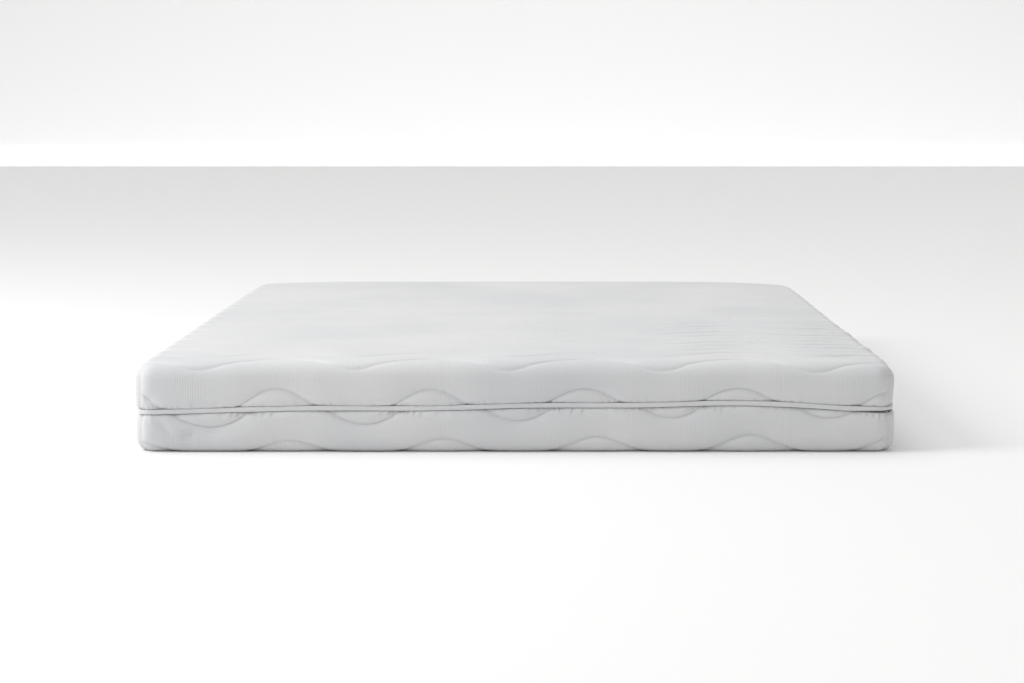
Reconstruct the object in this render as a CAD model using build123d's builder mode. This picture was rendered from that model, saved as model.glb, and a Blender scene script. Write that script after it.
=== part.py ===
from build123d import *
import math
import os

# A memory foam mattress for a double bed, in millimetres.
# A foam core in a knitted sock lies in a quilted cover. The cover is two equal halves,
# an upper and a lower one, that a zip joins all round at mid-height.
# The origin is the middle of the underside: +X across the bed, +Y to the head end, +Z up.

# Overall plan
width = 1600.0
length = 2000.0
plan_corner_radius = 40.0  # the cover's corners, seen from above
edge_radius = 28.0  # the cover's edge round the top, and round the underside

# Plies of the quilted cover, from the outside in
knit_thickness = 1.0
wadding_thickness = 12.0
backing_thickness = 0.6
ply_gap = 0.2  # between two plies, and between a ply's edge and what is sewn to it

# Foam core
sock_thickness = 0.8
memory_foam_height = 50.0
glue_thickness = 0.4
glue_set_back = 12.0  # the glue stops this far inside the foam's sides
base_foam_height = 109.0
slip = 0.3  # between the core and the cover
core_edge_ease = 2.0  # the core's edges are this much rounder than the cover's inside

# Corner seams, one down each corner of each half
seam_allowance = 4.0  # how far the trimmed edge stands in from the cover's inside
seam_bulk = 2.4  # two edges sewn together
seam_end_gap = 2.0  # the allowance stops this far short of the rim and of the edge's curve

# Zip band: heights are measured from the zip's centre line
zip_gap = 6.0  # open slot between the upper and the lower flap
flap_height = 7.8
flap_set_back = 0.6  # the flap's face lies this far inside the cover's face
flap_rounding = 2.4
tape_thickness = 0.6
coil_thickness = 3.0
coil_height = 2.2
coil_spacing = 1.6  # between the two coils, where the slider's post runs
binding_thickness = 3.2
binding_height = 4.8

# Zip slider and its puller
slider_length = 12.0
slider_plate = 1.2
slider_flange = 2.0
slider_rounding = 2.0
slider_softening = 0.5  # on the edges of the two plates' faces
slider_clearance = 0.3  # round the coils, the tapes and the post
slider_to_core = 1.3  # from the slider's inner plate to the core
slider_to_flap = 0.6
slider_from_end = 100.0  # from the cover's head end to the middle of the parked slider
post_length = 4.0
bridge_length = 9.0
bridge_leg = 1.5
bridge_rise = 2.0
bridge_thickness = 1.2
bridge_width = 2.0
bridge_rounding = 1.0
puller_length = 22.0
puller_width = 5.0
puller_thickness = 1.2
puller_eye_length = 6.0
puller_eye_width = 2.6
puller_rounding = 2.0
puller_softening = 0.3
stop_length = 2.6
stop_thickness = 1.2
park_gap = 2.0  # each side of the parked slider, where the upper chain is open

# Sizes that follow
wall = knit_thickness + wadding_thickness + backing_thickness + 2 * ply_gap
core_bottom = wall + slip
foam_height = base_foam_height + glue_thickness + memory_foam_height
core_height = foam_height + 2 * (sock_thickness + ply_gap)
overall_height = core_height + 2 * core_bottom
mid_height = overall_height / 2
band_half = zip_gap / 2 + flap_height + ply_gap
rim_height = mid_height + band_half  # where the upper half's quilted wall ends

core_width = width - 2 * core_bottom
core_length = length - 2 * core_bottom
core_ease = (seam_allowance + ply_gap + 2 * slip) / (math.sqrt(2) - 1)
core_corner_radius = plan_corner_radius - core_bottom + core_ease
core_edge_radius = edge_radius - wall + core_edge_ease
foam_inset = sock_thickness + ply_gap
base_foam_top = core_bottom + foam_inset + base_foam_height

channel_depth = coil_thickness + 2 * slider_clearance
channel_half = coil_spacing / 2 + coil_height + slider_clearance
slider_depth = channel_depth + 2 * slider_plate
slider_height = 2 * (channel_half + slider_flange)
coil_inset = core_bottom - slider_to_core - slider_depth / 2
flap_inner_inset = coil_inset - slider_depth / 2 - slider_to_flap
binding_inset = wall - binding_thickness - ply_gap
slider_x = width / 2 - coil_inset
slider_park_y = length / 2 - slider_from_end
pull_axis_x = slider_x + slider_depth / 2 + bridge_rise / 2

mirror_plane = Plane.XY.offset(mid_height)
slider_plane = Plane(origin=(slider_x, slider_park_y, mid_height), x_dir=(0, -1, 0), z_dir=(1, 0, 0))
section_plane = Plane(origin=(slider_x, slider_park_y, mid_height), x_dir=(1, 0, 0), z_dir=(0, -1, 0))
bridge_plane = Plane(
    origin=(slider_x + slider_depth / 2, slider_park_y, mid_height),
    x_dir=(0, -1, 0),
    z_dir=(0, 0, 1),
)

os.makedirs("parts", exist_ok=True)


def save(sub_part, name):
    """Label one finished sub-part and write its STEP file."""
    sub_part.part.label = name
    export_step(sub_part.part, f"parts/{name}.step")


def cover_half(inset):
    """The upper half's outer form, from its rim to the top, shrunk by inset on every side."""
    with BuildPart() as half:
        with BuildSketch(Plane.XY.offset(rim_height)):
            RectangleRounded(width - 2 * inset, length - 2 * inset, plan_corner_radius - inset)
        extrude(amount=overall_height - inset - rim_height)
        fillet(half.faces().sort_by(Axis.Z)[-1].edges(), radius=edge_radius - inset)
    return half.part


def core_form(inset):
    """The core's outer form, rounded at its top and bottom edges, shrunk by inset on every side."""
    with BuildPart() as form:
        with BuildSketch(Plane.XY.offset(core_bottom + inset)):
            RectangleRounded(
                core_width - 2 * inset, core_length - 2 * inset, core_corner_radius - inset
            )
        extrude(amount=core_height - 2 * inset)
        ends = form.faces().sort_by(Axis.Z)
        fillet(ends[0].edges() + ends[-1].edges(), radius=core_edge_radius - inset)
    return form.part


def band_ring(outer_inset, inner_inset, low, high):
    """A ring that follows the cover's outline, between two heights above the zip's centre line."""
    with BuildPart() as ring:
        with BuildSketch(Plane.XY.offset(mid_height + low)):
            RectangleRounded(
                width - 2 * outer_inset, length - 2 * outer_inset, plan_corner_radius - outer_inset
            )
            RectangleRounded(
                width - 2 * inner_inset,
                length - 2 * inner_inset,
                plan_corner_radius - inner_inset,
                mode=Mode.SUBTRACT,
            )
        extrude(amount=high - low)
    return ring.part


# Quilted wall and top of the upper half: knitted face, fibre wadding and non-woven backing
wadding_inset = knit_thickness + ply_gap
backing_inset = wadding_inset + wadding_thickness + ply_gap

with BuildPart() as upper_knit:
    add(cover_half(0.0))
    add(cover_half(knit_thickness), mode=Mode.SUBTRACT)
save(upper_knit, "upper_knit")

with BuildPart() as upper_wadding:
    add(cover_half(wadding_inset))
    add(cover_half(wadding_inset + wadding_thickness), mode=Mode.SUBTRACT)
save(upper_wadding, "upper_wadding")

with BuildPart() as upper_backing:
    add(cover_half(backing_inset))
    add(cover_half(wall), mode=Mode.SUBTRACT)
save(upper_backing, "upper_backing")

# Trimmed edges of the four corner seams, standing in towards the core's rounder corners
seam_radius = plan_corner_radius - wall - ply_gap - seam_allowance / 2
seam_x = width / 2 - plan_corner_radius + seam_radius / math.sqrt(2)
seam_y = length / 2 - plan_corner_radius + seam_radius / math.sqrt(2)
seam_bottom = rim_height + seam_end_gap
seam_top = overall_height - edge_radius - seam_end_gap

with BuildPart() as upper_corner_seams:
    with BuildSketch(Plane.XY.offset(seam_bottom)):
        for side_x, side_y in ((1, 1), (-1, 1), (-1, -1), (1, -1)):
            with Locations((side_x * seam_x, side_y * seam_y)):
                Rectangle(seam_allowance, seam_bulk, rotation=45 * side_x * side_y)
    extrude(amount=seam_top - seam_bottom)
save(upper_corner_seams, "upper_corner_seams")

# Zip band of the upper half: what is sewn to the rim of the quilted wall
band_top = band_half - ply_gap
coil_low = coil_spacing / 2
coil_high = coil_low + coil_height
open_length = slider_length + 2 * park_gap
chain_opening = Pos(slider_x, slider_park_y, mid_height + band_half / 2) * Box(
    slider_depth, open_length, band_half
)

with BuildPart() as upper_edge_binding:
    add(band_ring(binding_inset, binding_inset + binding_thickness, band_top - binding_height, band_top))
save(upper_edge_binding, "upper_edge_binding")

with BuildPart() as upper_zip_flap:
    with BuildSketch(Plane.XY.offset(mid_height + zip_gap / 2)):
        RectangleRounded(
            width - 2 * flap_set_back, length - 2 * flap_set_back, plan_corner_radius - flap_set_back
        )
    extrude(amount=flap_height)
    flap_ends = upper_zip_flap.faces().sort_by(Axis.Z)
    fillet(flap_ends[0].edges() + flap_ends[-1].edges(), radius=flap_rounding)
    with BuildSketch(Plane.XY.offset(mid_height + zip_gap / 2)):
        RectangleRounded(
            width - 2 * flap_inner_inset,
            length - 2 * flap_inner_inset,
            plan_corner_radius - flap_inner_inset,
        )
    extrude(amount=flap_height, mode=Mode.SUBTRACT)
save(upper_zip_flap, "upper_zip_flap")

# The upper tape and coil stop either side of the parked slider; the lower ones run all round
tape_inset = coil_inset - tape_thickness / 2
coil_outer_inset = coil_inset - coil_thickness / 2

with BuildPart() as upper_zip_tape:
    add(band_ring(tape_inset, tape_inset + tape_thickness, coil_high, band_top))
    add(chain_opening, mode=Mode.SUBTRACT)
save(upper_zip_tape, "upper_zip_tape")

with BuildPart() as upper_zip_coil:
    add(band_ring(coil_outer_inset, coil_outer_inset + coil_thickness, coil_low, coil_high))
    add(chain_opening, mode=Mode.SUBTRACT)
save(upper_zip_coil, "upper_zip_coil")

stop_y = slider_park_y + open_length / 2 + stop_length / 2
stop_plane = Plane(
    origin=(width / 2 - coil_outer_inset, stop_y, mid_height + (coil_low + coil_high) / 2),
    x_dir=(0, -1, 0),
    z_dir=(1, 0, 0),
)

with BuildPart() as upper_zip_stop:
    with BuildSketch(stop_plane):
        Rectangle(stop_length, coil_height)
    extrude(amount=stop_thickness)
save(upper_zip_stop, "upper_zip_stop")

# Lower half of the cover: the upper half's pieces turned over at mid-height
with BuildPart() as lower_knit:
    mirror(upper_knit.part, about=mirror_plane)
save(lower_knit, "lower_knit")

with BuildPart() as lower_wadding:
    mirror(upper_wadding.part, about=mirror_plane)
save(lower_wadding, "lower_wadding")

with BuildPart() as lower_backing:
    mirror(upper_backing.part, about=mirror_plane)
save(lower_backing, "lower_backing")

with BuildPart() as lower_corner_seams:
    mirror(upper_corner_seams.part, about=mirror_plane)
save(lower_corner_seams, "lower_corner_seams")

with BuildPart() as lower_edge_binding:
    mirror(upper_edge_binding.part, about=mirror_plane)
save(lower_edge_binding, "lower_edge_binding")

with BuildPart() as lower_zip_flap:
    mirror(upper_zip_flap.part, about=mirror_plane)
save(lower_zip_flap, "lower_zip_flap")

with BuildPart() as lower_zip_tape:
    add(band_ring(tape_inset, tape_inset + tape_thickness, -band_top, -coil_high))
save(lower_zip_tape, "lower_zip_tape")

with BuildPart() as lower_zip_coil:
    add(band_ring(coil_outer_inset, coil_outer_inset + coil_thickness, -coil_high, -coil_low))
save(lower_zip_coil, "lower_zip_coil")

with BuildPart() as lower_zip_stop:
    mirror(upper_zip_stop.part, about=mirror_plane)
save(lower_zip_stop, "lower_zip_stop")

# Zip slider: two plates and a post, flanges that hold the coils, and a bridge for the puller
with BuildPart() as zip_slider:
    with BuildSketch(slider_plane.offset(-slider_depth / 2)):
        RectangleRounded(slider_length, slider_height, slider_rounding)
    extrude(amount=slider_depth)
    plate_faces = zip_slider.faces().sort_by(Axis.X)
    fillet(plate_faces[0].edges() + plate_faces[-1].edges(), radius=slider_softening)
    with BuildSketch(section_plane):
        Rectangle(channel_depth, 2 * channel_half)
        Rectangle(tape_thickness + 2 * slider_clearance, slider_height)
    extrude(amount=slider_length / 2, both=True, mode=Mode.SUBTRACT)
    with BuildSketch(slider_plane.offset(-slider_depth / 2)):
        Rectangle(post_length, coil_spacing - 2 * slider_clearance)
    extrude(amount=slider_depth)
    with BuildSketch(bridge_plane) as arch:
        Rectangle(
            bridge_length, bridge_rise + bridge_thickness, align=(Align.CENTER, Align.MIN)
        )
        fillet(arch.vertices().group_by(Axis.Y)[-1], radius=bridge_rounding)
        Rectangle(
            bridge_length - 2 * bridge_leg,
            bridge_rise,
            align=(Align.CENTER, Align.MIN),
            mode=Mode.SUBTRACT,
        )
    extrude(amount=bridge_width / 2, both=True)
save(zip_slider, "zip_slider")

# Puller: a flat tab whose end bar lies under the bridge, with the bridge's leg in its eye
puller_plane = Plane(
    origin=(pull_axis_x - puller_thickness / 2, slider_park_y, mid_height),
    x_dir=(0, -1, 0),
    z_dir=(1, 0, 0),
)

with BuildPart() as zip_puller:
    with BuildSketch(puller_plane) as tab:
        with Locations((-puller_thickness / 2, 0)):
            Rectangle(puller_length, puller_width, align=(Align.MIN, Align.CENTER))
        fillet(tab.vertices().group_by(Axis.X)[-1], radius=puller_rounding)
        with Locations((puller_thickness / 2, 0)):
            Rectangle(
                puller_eye_length,
                puller_eye_width,
                align=(Align.MIN, Align.CENTER),
                mode=Mode.SUBTRACT,
            )
    extrude(amount=puller_thickness)
    tab_faces = zip_puller.faces().sort_by(Axis.X)
    fillet(tab_faces[0].edges() + tab_faces[-1].edges(), radius=puller_softening)
save(zip_puller, "zip_puller")

# Foam core: a knitted sock round a memory foam layer that is glued to a base of springy foam
with BuildPart() as inner_sock:
    add(core_form(0.0))
    add(core_form(sock_thickness), mode=Mode.SUBTRACT)
save(inner_sock, "inner_sock")

with BuildPart() as base_foam:
    add(core_form(foam_inset))
    split(bisect_by=Plane.XY.offset(base_foam_top), keep=Keep.BOTTOM)
save(base_foam, "base_foam")

glue_inset = foam_inset + glue_set_back

with BuildPart() as glue_film:
    with BuildSketch(Plane.XY.offset(base_foam_top)):
        RectangleRounded(
            core_width - 2 * glue_inset, core_length - 2 * glue_inset, core_corner_radius - glue_inset
        )
    extrude(amount=glue_thickness)
save(glue_film, "glue_film")

with BuildPart() as memory_foam:
    add(core_form(foam_inset))
    split(bisect_by=Plane.XY.offset(base_foam_top + glue_thickness), keep=Keep.TOP)
save(memory_foam, "memory_foam")

print(f"overall height {overall_height:.2f} mm")
print(f"core corner radius {core_corner_radius:.2f} mm")
print(f"slider axis x {slider_x:.2f} mm, puller axis x {pull_axis_x:.2f} mm")
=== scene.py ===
"""A memory foam mattress in a quilted knit cover that zips apart at mid-height.

The cover is two quilted halves, each one flat quilt that is folded over the foam core and sewn
at its corners. Folded flaps hide the zip between them. Inside lie the sock and the foam core.
"""
import logging
import math
from dataclasses import dataclass, replace
from enum import Enum
from typing import Callable, Sequence

import bmesh
import bpy
import numpy as np
from mathutils import Matrix, Vector, noise


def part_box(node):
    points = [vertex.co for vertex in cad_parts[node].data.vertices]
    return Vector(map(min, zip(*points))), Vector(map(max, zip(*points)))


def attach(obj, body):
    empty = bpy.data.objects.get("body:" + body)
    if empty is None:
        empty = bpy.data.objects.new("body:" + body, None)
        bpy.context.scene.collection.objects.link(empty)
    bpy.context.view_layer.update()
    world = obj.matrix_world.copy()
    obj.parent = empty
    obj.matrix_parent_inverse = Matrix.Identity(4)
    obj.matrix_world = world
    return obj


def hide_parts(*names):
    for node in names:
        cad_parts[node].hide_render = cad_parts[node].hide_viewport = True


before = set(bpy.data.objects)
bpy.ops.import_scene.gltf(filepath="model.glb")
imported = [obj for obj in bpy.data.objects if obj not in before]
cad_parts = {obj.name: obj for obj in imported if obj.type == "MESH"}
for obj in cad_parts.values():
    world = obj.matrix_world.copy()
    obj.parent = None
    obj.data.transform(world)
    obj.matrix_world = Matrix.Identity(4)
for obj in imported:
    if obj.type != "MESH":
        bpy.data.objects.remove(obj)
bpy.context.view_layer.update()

MM = 0.001
PLAN_RADIUS = 0.040  # the cover's corners, seen from above
EDGE_RADIUS = 0.028  # the cover's edge round the top, and round the underside
CORE_PLAN_RADIUS = 0.0373
CORE_EDGE_RADIUS = 0.016
ROW_SPACING = 0.105  # from one quilting row to the next
WAVELENGTH = 0.324  # of the quilting rows' wave
SLIDER_OPENING = 0.016  # where the upper chain is open round the parked slider
NO_STITCHES = 0.5  # half-way between two rows
WELD = 2e-5  # vertices closer than this are one
UNDER = -0.01  # a sine below this is on a section's under side; both of its ends read alike
Array = np.ndarray
Place = tuple[float, float, float]
log = logging.getLogger("mattress")


# --------------------------------------------------------------------------- small helpers


class Half(Enum):
    """The two halves of the cover, and which way each one faces."""

    UPPER = 1
    LOWER = -1

    def named(self, part: str) -> str:
        """The name of this half's part, such as upper_zip_tape."""
        return f"{self.name.lower()}_{part}"


def smoothstep(value: Array, low: float, high: float) -> Array:
    """A smooth rise from 0 at low to 1 at high.

    Args:
        value: where to read the curve.
        low: the value where it leaves 0.
        high: the value where it reaches 1.

    Returns:
        The curve's height at each value.
    """
    x = np.clip((value - low) / (high - low), 0.0, 1.0)
    return x * x * (3.0 - 2.0 * x)


def flowing_line(at: Array, points: Sequence[tuple[float, float]]) -> Array:
    """A smooth line through a few chosen points, as a sewer's chalk line runs.

    Args:
        at: where to read the line, along its length.
        points: (place, height) pairs in rising order of place.

    Returns:
        The line's height at each place.
    """
    x = np.array([p[0] for p in points])
    y = np.array([p[1] for p in points])
    slope = np.gradient(y, x)
    at = np.clip(at, x[0], x[-1])
    i = np.clip(np.searchsorted(x, at) - 1, 0, len(x) - 2)
    span = x[i + 1] - x[i]
    u = (at - x[i]) / span
    rise = (3 - 2 * u) * u * u
    return (
        y[i] * (1 - rise)
        + y[i + 1] * rise
        + span * u * (1 - u) * ((1 - u) * slope[i] - u * slope[i + 1])
    )


def drift(points: Array, size: float, seed: float) -> Array:
    """Slow, seeded variation over space, from about -1 to 1.

    Args:
        points: (n, 3) places in metres.
        size: the length of one swell in metres.
        seed: moves the pattern to another part of the noise field.

    Returns:
        One value for each point.
    """
    shift = Vector((seed, 1.7 * seed, -2.3 * seed))
    return np.array([noise.noise(Vector(p) / size + shift) for p in points])


def vertex_places(mesh: bpy.types.Mesh) -> Array:
    """Reads where a mesh's vertices are.

    Args:
        mesh: the mesh to read.

    Returns:
        (n, 3) places.
    """
    flat = np.zeros(len(mesh.vertices) * 3, np.float32)
    mesh.vertices.foreach_get("co", flat)
    return flat.reshape(-1, 3).astype(float)


def put_vertices(mesh: bpy.types.Mesh, places: Array) -> None:
    """Moves the mesh's vertices to the given places."""
    mesh.vertices.foreach_set("co", places.astype(np.float32).ravel())
    mesh.update()


def piece_from(bm: bmesh.types.BMesh, name: str) -> bpy.types.Object:
    """Turns a finished bmesh into a smooth-shaded object at the origin and frees it.

    Args:
        bm: the shape.
        name: the piece's name.

    Returns:
        The new object, linked to the scene.
    """
    mesh = bpy.data.meshes.new(name)
    bm.to_mesh(mesh)
    bm.free()
    mesh.polygons.foreach_set("use_smooth", [True] * len(mesh.polygons))
    piece = bpy.data.objects.new(name, mesh)
    bpy.context.scene.collection.objects.link(piece)
    return piece


def write_uv(mesh: bpy.types.Mesh, name: str, per_vertex: Array) -> None:
    """Stores two numbers per vertex as a UV map.

    Args:
        mesh: the mesh that gets the map.
        name: the map's name.
        per_vertex: (n, 2) values, one row for each vertex.
    """
    corner_vertex = np.zeros(len(mesh.loops), np.int32)
    mesh.loops.foreach_get("vertex_index", corner_vertex)
    layer = mesh.uv_layers.new(name=name)
    layer.data.foreach_set("uv", per_vertex[corner_vertex].astype(np.float32).ravel())


# --------------------------------------------------------------------------- finishes


def linear(hex_colour: str) -> tuple[float, float, float, float]:
    """Turns a colour as it is chosen by eye into the one that a shader wants.

    Args:
        hex_colour: sRGB in hex, such as "e6e6e8".

    Returns:
        Linear red, green, blue and alpha.
    """
    parts = [int(hex_colour[i : i + 2], 16) / 255 for i in (0, 2, 4)]
    curve = [c / 12.92 if c <= 0.04045 else ((c + 0.055) / 1.055) ** 2.4 for c in parts]
    return (*curve, 1.0)


def node(
    tree: bpy.types.NodeTree,
    kind: str,
    settings: dict[str, object] | None = None,
    links: dict[object, object] | None = None,
) -> bpy.types.Node:
    """Adds one shader node, with its settings and links.

    Args:
        tree: the material's node tree.
        kind: the node's type name.
        settings: attribute values by name.
        links: each input, by name or number, with what feeds it: a node's first output, a
            socket or a value.

    Returns:
        The new node.
    """
    made = tree.nodes.new(kind)
    for key, value in (settings or {}).items():
        setattr(made, key, value)
    for key, source in (links or {}).items():
        if isinstance(source, bpy.types.Node):
            source = source.outputs[0]
        if isinstance(source, bpy.types.NodeSocket):
            tree.links.new(source, made.inputs[key])
        else:
            made.inputs[key].default_value = source
    return made


@dataclass(frozen=True)
class Finish:
    """What every finish has: a name, two close colours and the numbers of its surface.

    Args:
        name: the material's plain name.
        colour: sRGB hex of the surface.
        shade: sRGB hex that the slow variation leans to.
        roughness: typical for the real material.
        sheen: soft edge light of loose fibres.
        grain_mm: size of the finest relief that is drawn.
        relief_mm: its height.
        metallic: 1 for bare metal, 0 for anything but metal.
        patches: how many slow patches of shade there are in a metre.
    """

    name: str
    colour: str
    shade: str
    roughness: float = 0.85
    sheen: float = 0.0
    grain_mm: float = 1.0
    relief_mm: float = 0.1
    metallic: float = 0.0
    patches: float = 9.0

    def begin(self) -> tuple[bpy.types.Material, bpy.types.Node]:
        """Makes the material and its shader, with the even values on the shader's own sockets.

        Returns:
            The material and its shader.
        """
        material = bpy.data.materials.new(self.name)
        material.use_nodes = True
        tree = material.node_tree
        tree.nodes.clear()
        out = node(tree, "ShaderNodeOutputMaterial")
        even = {
            "Roughness": self.roughness,
            "Metallic": self.metallic,
            "Sheen Weight": self.sheen,
            "Sheen Roughness": 0.5,
        }
        shader = node(tree, "ShaderNodeBsdfPrincipled", None, even)
        tree.links.new(shader.outputs[0], out.inputs[0])
        return material, shader

    def tint(
        self, tree: bpy.types.NodeTree, factor: object, low: float, high: float
    ) -> bpy.types.NodeSocket:
        """The surface's colour.

        Args:
            tree: the material's node tree.
            factor: the pattern that drives it.
            low: pattern value that gives the plain colour.
            high: pattern value that gives the shade.

        Returns:
            The colour's socket.
        """
        smooth = {"interpolation_type": "SMOOTHSTEP"}
        share = node(tree, "ShaderNodeMapRange", smooth, {0: factor, 1: low, 2: high})
        colours = {0: share, 6: linear(self.colour), 7: linear(self.shade)}
        return node(tree, "ShaderNodeMix", {"data_type": "RGBA"}, colours).outputs[2]

    def build(self) -> bpy.types.Material:
        """Makes the plain fibrous or porous look that most finishes share.

        Returns:
            The material.
        """
        material, shader = self.begin()
        tree = material.node_tree
        place = node(tree, "ShaderNodeTexCoord").outputs["Object"]
        patch = {"Vector": place, "Scale": self.patches, "Detail": 3.0}
        slow = node(tree, "ShaderNodeTexNoise", None, patch)
        grain = {"Vector": place, "Scale": 1.0 / (self.grain_mm * MM), "Detail": 4.0}
        fine = node(tree, "ShaderNodeTexNoise", None, grain)
        both = node(tree, "ShaderNodeMath", {"operation": "MULTIPLY"}, {0: slow, 1: fine})
        tint = self.tint(tree, both, low=0.15, high=0.40)
        tree.links.new(tint, shader.inputs["Base Color"])
        relief = {"Height": fine, "Distance": self.relief_mm * MM, "Strength": 1.0}
        bump = node(tree, "ShaderNodeBump", None, relief)
        tree.links.new(bump.outputs[0], shader.inputs["Normal"])
        return material


@dataclass(frozen=True)
class RibbedKnit(Finish):
    """Double-jersey ticking: a soft, matt polyester knit with fine ribs that run up the border.

    Its loops scatter light widely, so it has high roughness and a little sheen. It reads the
    fabric's own coordinates in metres from the "fabric" map. The "needle" map counts quilting
    rows one way, whole numbers on a row, and metres along them the other way.

    Args:
        rib_mm: from one rib to the next.
        rib_relief_mm: the ribs' height.
        rib_patches: how many patches of clear ribs there are in a metre.
        loop_mm: size of the knit's loops.
        stitch_mm: length of a quilting stitch with its gap.
        thread_mm: the quilting thread's thickness.
    """

    patches: float = 3.2
    rib_mm: float = 5.3  # the real ribs are about 1 mm apart; drawn coarser, so that they show
    rib_relief_mm: float = 0.16
    rib_patches: float = 17.0
    loop_mm: float = 1.3
    stitch_mm: float = 4.0
    thread_mm: float = 0.5

    def ribs(self, tree: bpy.types.NodeTree, fabric: bpy.types.Node) -> bpy.types.Node:
        """The ribs, clear in some patches and nearly lost in others.

        Args:
            tree: the material's node tree.
            fabric: the node that gives the fabric's coordinates.

        Returns:
            A node that gives their height from -1 to 1.
        """
        across = node(tree, "ShaderNodeSeparateXYZ", None, {0: fabric})
        patches = {"Vector": fabric, "Scale": self.rib_patches, "Detail": 2.0}
        patch = node(tree, "ShaderNodeTexNoise", None, patches)
        clear = {0: patch, 1: 0.48, 2: 0.66, 3: 0.0, 4: 1.0}
        strength = node(tree, "ShaderNodeMapRange", None, clear)
        turn = {0: across, 1: 2 * math.pi / (self.rib_mm * MM)}
        phase = node(tree, "ShaderNodeMath", {"operation": "MULTIPLY"}, turn)
        rib = node(tree, "ShaderNodeMath", {"operation": "SINE"}, {0: phase})
        return node(tree, "ShaderNodeMath", {"operation": "MULTIPLY"}, {0: rib, 1: strength})

    def stitches(self, tree: bpy.types.NodeTree) -> bpy.types.Node:
        """Where the quilting thread lies on top.

        Args:
            tree: the material's node tree.

        Returns:
            A node that gives 1 on a stitch and 0 beside it.
        """
        needle = node(tree, "ShaderNodeUVMap", {"uv_map": "needle"})
        seam = node(tree, "ShaderNodeSeparateXYZ", None, {0: needle})
        away = node(tree, "ShaderNodeMath", {"operation": "PINGPONG"}, {0: seam, 1: 0.5})
        half = self.thread_mm * MM / 2 / ROW_SPACING
        near = {0: away, 1: half, 2: 3 * half, 3: 1.0, 4: 0.0}
        thread = node(tree, "ShaderNodeMapRange", None, near)
        turn = {0: seam.outputs[1], 1: 2 * math.pi / (self.stitch_mm * MM)}
        phase = node(tree, "ShaderNodeMath", {"operation": "MULTIPLY"}, turn)
        dash = node(tree, "ShaderNodeMath", {"operation": "SINE"}, {0: phase})
        on_top = node(tree, "ShaderNodeMapRange", None, {0: dash, 1: -0.7, 2: -0.2})
        return node(tree, "ShaderNodeMath", {"operation": "MULTIPLY"}, {0: thread, 1: on_top})

    def build(self) -> bpy.types.Material:
        """Makes ribs, knit loops, slow patches and the quilting stitches in their grooves, with
        painted shade in the ribs' troughs.

        Returns:
            The material.
        """
        material, shader = self.begin()
        tree = material.node_tree
        fabric = node(tree, "ShaderNodeUVMap", {"uv_map": "fabric"})
        place = node(tree, "ShaderNodeTexCoord").outputs["Object"]
        patch = {"Vector": place, "Scale": self.patches, "Detail": 2.0}
        slow = node(tree, "ShaderNodeTexNoise", None, patch)
        size = {"Vector": fabric, "Scale": 1.0 / (self.loop_mm * MM), "Randomness": 0.55}
        loops = node(tree, "ShaderNodeTexVoronoi", None, size)
        rib = self.ribs(tree, fabric)
        multiply_add = {"operation": "MULTIPLY_ADD"}
        # the colour mixes the slow patches of tone with painted shade: each rib's trough leans to
        # the darker shade colour
        lean = node(tree, "ShaderNodeMath", multiply_add, {0: rib, 1: -0.22, 2: slow})
        tint = self.tint(tree, lean, low=0.2, high=0.85)
        tree.links.new(tint, shader.inputs["Base Color"])

        ribs = {0: rib, 1: self.rib_relief_mm}
        height = node(tree, "ShaderNodeMath", {"operation": "MULTIPLY"}, ribs)
        reliefs = ((loops, self.relief_mm), (self.stitches(tree), self.thread_mm))
        for pattern, millimetres in reliefs:
            raised = {0: pattern, 1: millimetres, 2: height}
            height = node(tree, "ShaderNodeMath", multiply_add, raised)
        relief = {"Height": height, "Distance": MM, "Strength": 1.0}
        bump = node(tree, "ShaderNodeBump", None, relief)
        tree.links.new(bump.outputs[0], shader.inputs["Normal"])
        return material


@dataclass(frozen=True)
class LacqueredMetal(Finish):
    """Die-cast zinc with a satin white lacquer: smooth, with faint wear.

    Args:
        wear_grain: how many specks of wear there are in a metre.
        wear_spread: how far the wear moves the roughness either way.
    """

    wear_grain: float = 900.0
    wear_spread: float = 0.1

    def build(self) -> bpy.types.Material:
        """Makes a satin lacquer whose roughness varies a little.

        Returns:
            The material.
        """
        material, shader = self.begin()
        tree = material.node_tree
        place = node(tree, "ShaderNodeTexCoord").outputs["Object"]
        grain = {"Vector": place, "Scale": self.wear_grain, "Detail": 5.0}
        wear = node(tree, "ShaderNodeTexNoise", None, grain)
        tint = self.tint(tree, wear, low=0.45, high=0.70)
        tree.links.new(tint, shader.inputs["Base Color"])
        low, high = self.roughness - self.wear_spread, self.roughness + self.wear_spread
        rough = node(tree, "ShaderNodeMapRange", None, {0: wear, 3: low, 4: high})
        tree.links.new(rough.outputs[0], shader.inputs["Roughness"])
        return material


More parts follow.
